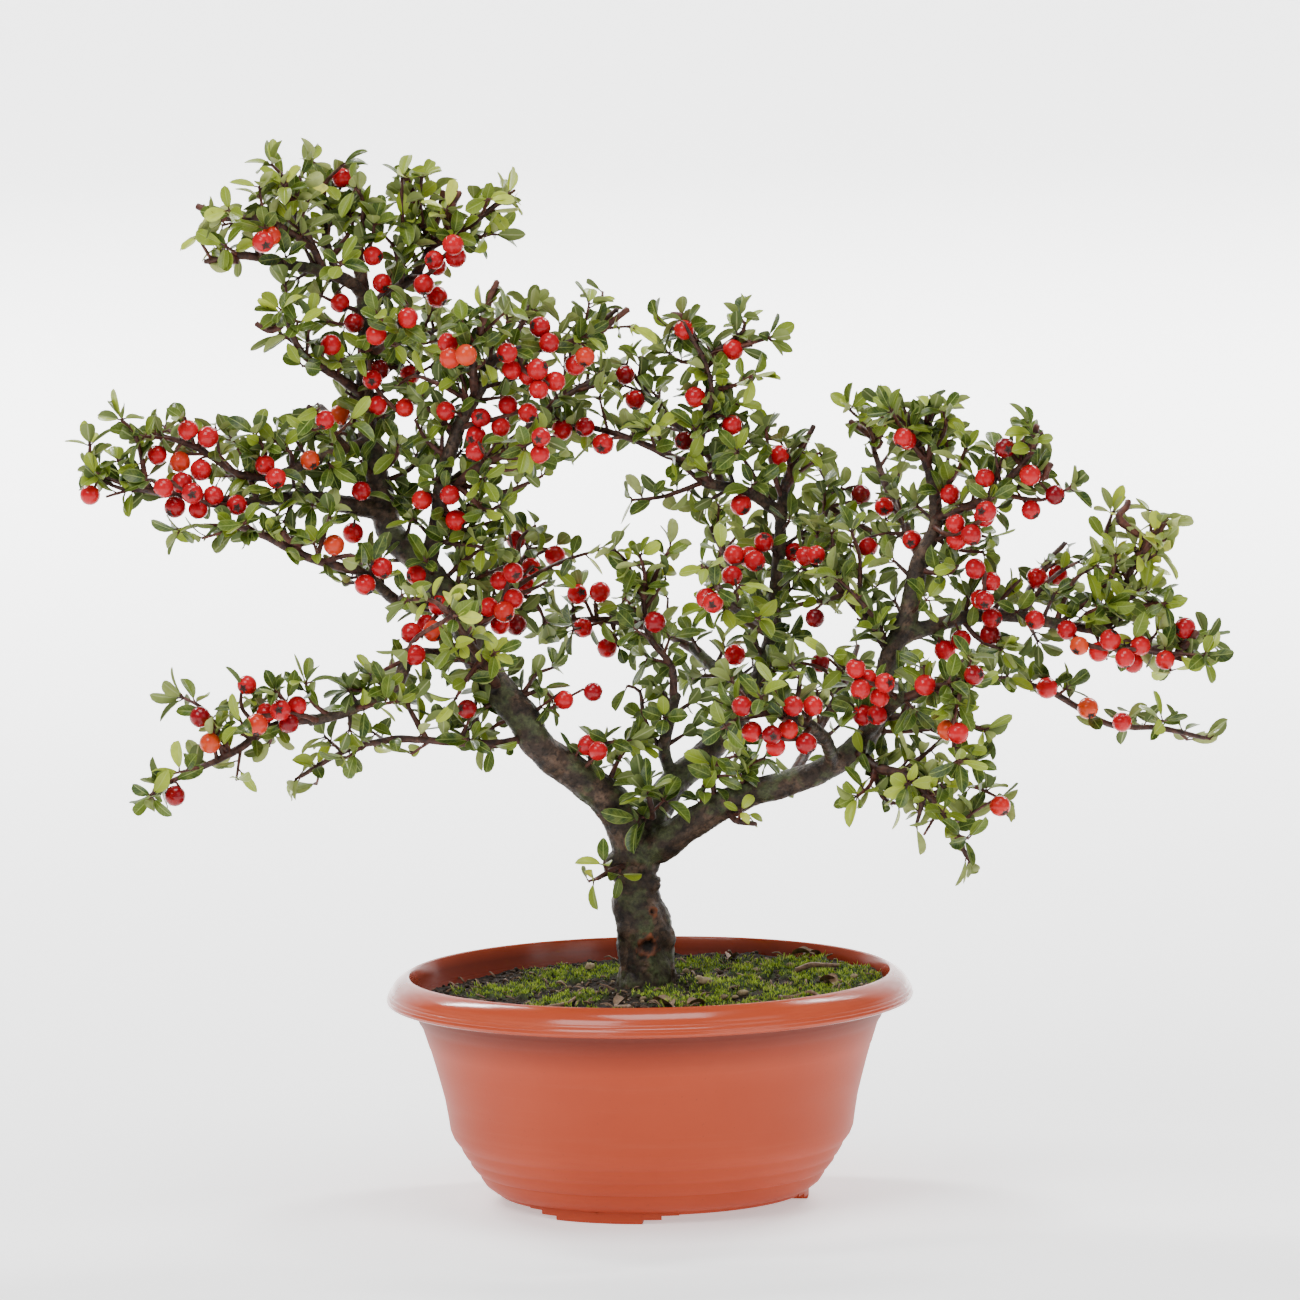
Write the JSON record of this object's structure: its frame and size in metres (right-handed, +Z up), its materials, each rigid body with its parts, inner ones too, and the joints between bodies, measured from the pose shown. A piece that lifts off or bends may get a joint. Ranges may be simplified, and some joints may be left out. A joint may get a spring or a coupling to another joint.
{
  "type": "cotoneaster bonsai",
  "caption": "Cotoneaster bonsai with a leaning trunk, leafy sprays and bunches of berries, planted in soil in a round pot on low feet.",
  "frame": {"origin": "middle of the whole object's box, on the floor under the pot's feet", "axes": "+X to the right seen from the front, +Y to the back, +Z up; the pot's own axis is 4 mm to the left of the origin"},
  "size_m": [0.4374, 0.2, 0.3944],
  "materials": {
    "pot_plastic": "terracotta-coloured, soft gloss",
    "soil": "dark damp potting soil with moss, rough",
    "bark": "dark brown bark with grey-green lichen, rough",
    "leaf": "glossy green leaf with a pale underside",
    "berry": "glossy red berry"
  },
  "bodies": {
    "root": {"pot": "pot_plastic", "soil": "soil", "wood": "bark", "berries_far_left": "berry", "berries_crown_right": "berry", "berries_upper": "berry", "berries_top": "berry", "berries_centre_top": "berry", "berries_inner": "berry", "berries_left_low": "berry", "berries_lower_left": "berry", "berries_middle": "berry", "berries_front_low": "berry", "berries_right_front": "berry", "berries_right_upper": "berry", "berries_far_right": "berry", "berries_far_tip": "berry", "spray_crown_left_tip": "leaf", "spray_crown_left_rise": "leaf", "spray_crown_back": "leaf", "spray_crown_right": "leaf", "spray_upper_left": "leaf", "spray_upper_front": "leaf", "spray_upper_back": "leaf", "spray_top_centre": "leaf", "spray_top_spur": "leaf", "spray_top_right": "leaf", "spray_top_back": "leaf", "spray_centre_front": "leaf", "spray_far_left_up": "leaf", "spray_far_left_tip": "leaf", "spray_left_back_up": "leaf", "spray_left_front_up": "leaf", "spray_left_middle_tip": "leaf", "spray_lower_left_tip": "leaf", "spray_lower_left_thin": "leaf", "spray_left_back": "leaf", "spray_left_front": "leaf", "spray_middle_top": "leaf", "spray_middle_high": "leaf", "spray_arch_rise": "leaf", "spray_middle_back": "leaf", "spray_middle_front": "leaf", "spray_middle_right": "leaf", "spray_centre_stem": "leaf", "spray_centre_back": "leaf", "spray_right_top": "leaf", "spray_right_diagonal": "leaf", "spray_right_upper": "leaf", "spray_right_back": "leaf", "spray_far_right_up": "leaf", "spray_far_right_tip": "leaf", "spray_long_low": "leaf", "spray_right_front": "leaf", "spray_droop": "leaf", "spray_front_low": "leaf", "spray_right_behind": "leaf", "spray_trunk_sucker": "leaf", "spray_front_shoot": "leaf", "spray_low_sprig": "leaf"}
  },
  "joints": []
}
